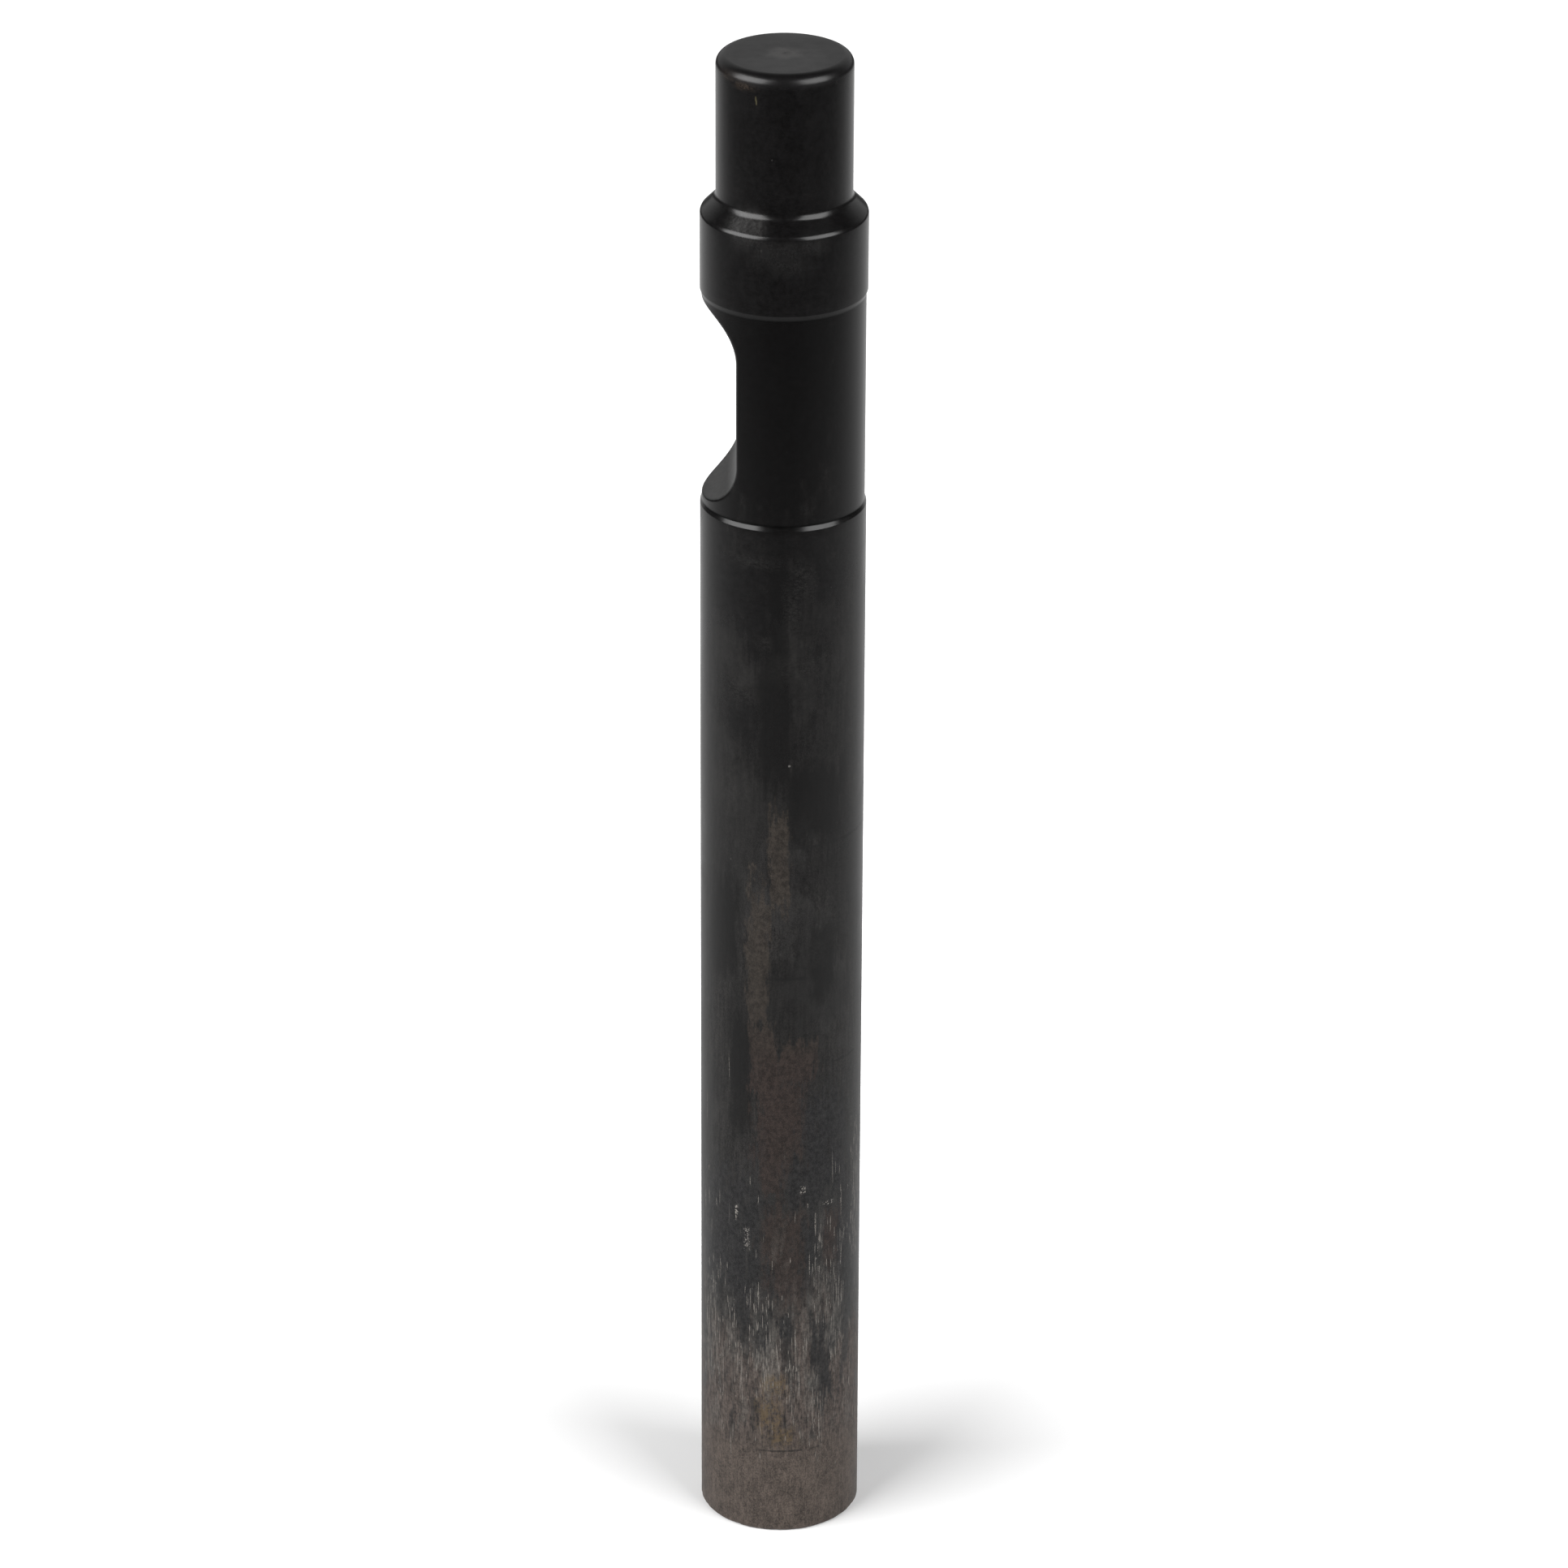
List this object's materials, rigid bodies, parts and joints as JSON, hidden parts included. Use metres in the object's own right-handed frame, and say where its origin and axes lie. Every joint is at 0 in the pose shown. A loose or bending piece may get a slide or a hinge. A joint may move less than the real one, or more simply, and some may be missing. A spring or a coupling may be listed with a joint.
{
  "type": "post-driving breaker tool",
  "caption": "Solid round steel post-driving tool for a hydraulic breaker: stepped striking head, collar, relieved neck with a retainer notch, and a long plain body with a flat driving face.",
  "frame": {"origin": "centre of the flat driving face that the tool stands on", "axes": "+Z along the bar, from the driving face to the striking face; -X is the side that the retainer notch opens to"},
  "size_m": [0.08, 0.0798, 0.783],
  "materials": {
    "oiled_steel": "turned and heat-treated steel, black and oiled at the shank, rubbed and rust-browned towards the driving face"
  },
  "bodies": {
    "root": {"driver_bar": "oiled_steel"}
  },
  "joints": []
}
